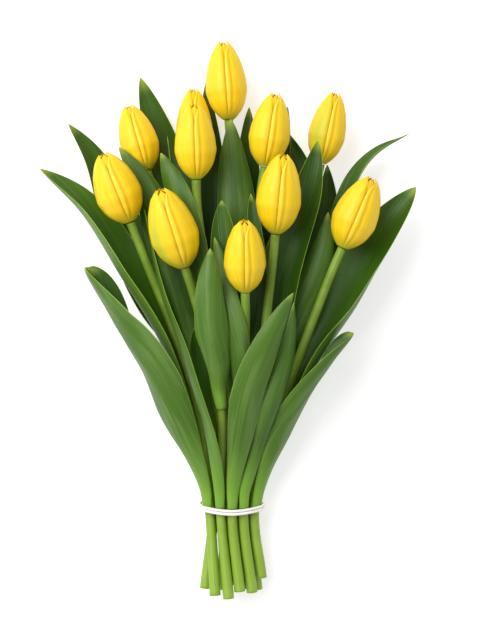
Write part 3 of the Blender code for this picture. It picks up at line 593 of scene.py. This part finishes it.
# Painted highlight along the raised rib of the overlapping edge.
yellow = mixed(tree, yellow, linear("#FFDE2A"), ranged(tree, v_at, -0.8, -0.88, 0.0, 0.7))
yellow = mixed(tree, yellow, linear("#BDBE22"), product(tree, green_at, ranged(tree, u_at, 1.0, 0.45)))
yellow = mixed(tree, yellow, linear("#C9C52A"), ranged(tree, u_at, 0.16, 0.0, 0.0, 0.85))
tree.links.new(yellow, shader.inputs["Base Color"])
bump = add_node(tree, "ShaderNodeBump", {"Strength": 0.3, "Distance": 0.0004}, {"Height": vein})
tree.links.new(bump.outputs[0], shader.inputs["Normal"])

# Green midribs on one outer tepal: how green, how far across from its middle, and half the width.
GREEN_RIB = {"02": (0.95, 0.08, 0.2), "06": (0.9, 0.35, 0.4)}


def add_tepal(tulip, k):
    """One of a flower's six tepals, the outer three first: a strip of the bud's outline, turned
    round the flower's axis by its own angle. Bell-shaped bumps raise the overlapping edge and the
    midrib and sink the tucked edge, fading out at the foot and the tip."""
    row = TULIPS[tulip]
    base, tip = np.array(row["base"]), np.array(row["tip"])
    length = np.linalg.norm(tip - base)
    axis = (tip - base) / length
    front = np.array([0.0, 0.0, 1.0]) - axis * axis[2]
    front /= np.linalg.norm(front)
    right = np.cross(axis, front)
    outer_one = k < 3
    centre = TEPAL_CENTRES[k]
    u = np.linspace(0.0, 1.0, 64)
    v = np.sin(np.linspace(-1, 1, 45) * math.pi / 2)
    reach, foot = (0.996, 0.0) if outer_one else (0.985, 0.05)
    h = foot + (reach - foot) * u
    blunt = 4.5 if outer_one else 7.0
    span = TEPAL_SPAN * (1 - 0.9 * np.clip((u - 0.6) / 0.4, 0, 1) ** blunt)
    profile = eased(h, BUD_HEIGHT, BUD_RADIUS, 0.04)
    # The edge on the right overlaps its neighbour as a rounded rib; the left edge is tucked in.
    fade = (np.minimum(1.0, 9 * u) * np.minimum(1.0, 7 * (1.02 - u)))[:, None]
    rib = 0.42 * bell(v, -0.9, 0.09) - 0.3 * bell(v, -0.72, 0.08)
    tuck = -1.1 * np.clip((v - 0.68) / 0.2, 0, 1) ** 1.3 + 0.25 * bell(v, 0.58, 0.12)
    midrib = 0.3 * bell(v, 0.0, 0.12) - 0.2 * bell(np.abs(v), 0.25, 0.12)
    radius = (row["radius"] - 0.4) * profile[:, None] * (1 - 0.045 * np.abs(v) ** 3)[None, :]
    radius += fade * (rib + tuck + midrib)[None, :]
    if not outer_one:
        # The inner tips lean together and close the mouth of the bud.
        radius = (radius * 0.95 - 1.0) * (1 - 0.4 * np.clip((u - 0.8) / 0.2, 0, 1) ** 2)[:, None]
    radius = np.maximum(radius, 0.6)
    # Small teeth at the blunt tip.
    h = h[:, None] - (0.008 * (1 + np.cos(9.0 * v + k))[None, :] + 0.02 * (v ** 2)[None, :]) * (
        np.clip((u - 0.85) / 0.15, 0, 1) ** 2)[:, None]
    angle = np.radians(centre + v[None, :] * span[:, None])
    ray = np.cos(angle)[..., None] * front + np.sin(angle)[..., None] * right
    skin = base + (h * length)[..., None] * axis + radius[..., None] * ray
    half_wall = TEPAL_HALF_WALL * (1 - 0.6 * np.abs(v) ** 6)
    inner = skin - (2 * half_wall[None, :, None]) * ray
    wide = len(v)
    points = np.concatenate([skin, inner[:, ::-1]], axis=1).reshape(-1, 3)
    faces = grid_faces(len(u), 2 * wide, closed=True).tolist()
    j = np.arange(wide - 1)
    for first in (0, (len(u) - 1) * 2 * wide):
        cap = np.stack([j, j + 1, 2 * wide - 2 - j, 2 * wide - 1 - j], axis=1) + first
        faces += (cap[:, ::-1] if first == 0 else cap).tolist()
    both = np.concatenate([v, v[::-1]])
    midrib_green = 0.1 * bell(both, 0.0, 0.2)
    if k == 2 and tulip in GREEN_RIB:
        strength, middle, width = GREEN_RIB[tulip]
        midrib_green += strength * bell(both, middle, width)
    shape = (len(u), 2 * wide)
    kind = "outer" if outer_one else "inner"
    add_piece(f"{tulip}_{kind}_tepal_{k % 3 + 1}", points, faces, petal_skin,
              f"{kind}_tepals_{tulip}", {
                  "up": np.concatenate([h, h[:, ::-1]], axis=1),
                  "across": np.broadcast_to(both, shape),
                  "width_mm": radius.mean(axis=1)[:, None] * both * 1.1 + 40 * k + 7 * int(tulip),
                  "greenness": np.broadcast_to(midrib_green, shape)})


for tulip in TULIPS:
    for k in range(6):
        add_tepal(tulip, k)

# ---------------------------------------------------------------- rubber band
# One white natural-rubber band wound twice round the stems and leaf bases. Its two turns lie side
# by side and change places under the left side, where one passes over the other.

BAND_TUBE = 1.05         # half a strand's thickness, mm
BAND_CLEARANCE = 0.15    # strand to stems and leaf bases, beyond the slack, mm
BAND_SLACK = 0.35        # added to each stem and leaf base before the outline is taken, mm
STRAND_OFFSET = 1.18     # each turn from the middle of the pair, mm
BAND_TILT = 0.3          # how far the band leans towards the cut ends, mm for each mm of height

# Natural rubber filled white: matt, with a faint dust.
rubber, tree, shader = new_material("white_rubber", Roughness=0.55)
dust = add_node(tree, "ShaderNodeTexNoise", {"Scale": 900.0, "Detail": 4.0},
                {"Vector": add_node(tree, "ShaderNodeTexCoord").outputs["Object"]}).outputs["Fac"]
tree.links.new(mixed(tree, linear("#F6F2EE"), linear("#DCD2CA"), ranged(tree, dust, 0.45, 0.8)),
               shader.inputs["Base Color"])
bump = add_node(tree, "ShaderNodeBump", {"Strength": 0.3, "Distance": 0.0001}, {"Height": dust})
tree.links.new(bump.outputs[0], shader.inputs["Normal"])


def add_band():
    """A round strand carried twice along the rounded outline of the stems and leaf bases under it.
    The outline is the farthest reach of their circles in each direction. The two turns keep side
    by side, and where they change places one is lifted over the other."""
    circles = []
    for tulip in TULIPS:
        path = stem_path(tulip)
        centre = [np.interp(BAND_Y, path[:, 1], path[:, k]) for k in (0, 2)]
        circles.append([*centre, BAND_RADIUS + BAND_SLACK])
    for row in LEAVES.values():
        if row["start"] < 0:
            path = stem_path(row["tulip"])
            centre = [np.interp(BAND_Y, path[:, 1], path[:, k]) for k in (0, 2)]
            for way in np.linspace(-row["wrap"], row["wrap"], 5):
                ray = out_direction(np.array([row["side"] + way]))[0]
                circles.append([centre[0] + ray[0] * SHEATH_RADIUS, centre[1] + ray[2] * SHEATH_RADIUS,
                                0.5 * LEAF_THICKNESS + BAND_SLACK])
    circles = np.array(circles)
    centre = (circles[:, :2].min(axis=0) + circles[:, :2].max(axis=0)) / 2
    look = np.radians(np.arange(360))
    ray = np.stack([np.cos(look), np.sin(look)], axis=1)
    reach = np.max((circles[:, :2] - centre) @ ray.T + circles[:, 2:3], axis=0)
    reach += BAND_CLEARANCE + BAND_TUBE
    slope = (np.roll(reach, -1) - np.roll(reach, 1)) / (2 * math.radians(1.0))
    outline = centre + reach[:, None] * ray + slope[:, None] * np.stack([-ray[:, 1], ray[:, 0]], axis=1)
    start, swap = math.radians(235.0), math.radians(40.0)   # where and over what angle they swap
    wound = np.linspace(0, 4 * math.pi, 720, endpoint=False)
    look_at = np.degrees(start + wound) % 360.0
    x = np.interp(look_at, np.arange(361), np.append(outline[:, 0], outline[0, 0]))
    z = np.interp(look_at, np.arange(361), np.append(outline[:, 1], outline[0, 1]))
    kernel = np.ones(25) / 25
    x = np.convolve(np.concatenate([x[-12:], x, x[:12]]), kernel, "valid")
    z = np.convolve(np.concatenate([z[-12:], z, z[:12]]), kernel, "valid")
    near = np.minimum(wound, 4 * math.pi - wound) / swap
    far = np.abs(wound - 2 * math.pi) / swap
    lane = np.clip(np.minimum(near, far), 0, 1)
    lane = np.where(wound < 2 * math.pi, 1.0, -1.0) * lane * lane * (3 - 2 * lane)
    lift = (2 * BAND_TUBE + 0.5) * np.clip(1 - far * 0.55, 0, 1)
    x = x + lift * np.cos(start + wound)
    z = z + lift * np.sin(start + wound)
    path = np.stack([x, BAND_Y + STRAND_OFFSET * lane - BAND_TILT * (z - centre[1]), z], axis=1)
    tangent = np.roll(path, -1, axis=0) - np.roll(path, 1, axis=0)
    tangent /= np.linalg.norm(tangent, axis=1)[:, None]
    across = np.cross(tangent, (0.0, 1.0, 0.0))
    across /= np.linalg.norm(across, axis=1)[:, None]
    over = np.cross(across, tangent)
    sides = 18
    turn = 2 * math.pi * np.arange(sides) / sides
    ring = path[:, None] + BAND_TUBE * (np.cos(turn)[None, :, None] * across[:, None]
                                        + np.sin(turn)[None, :, None] * over[:, None])
    faces = grid_faces(len(path) + 1, sides, closed=True) % (len(path) * sides)
    add_piece("rubber_band_double", ring.reshape(-1, 3), faces.tolist(), rubber, "rubber_band",
              {})


add_band()
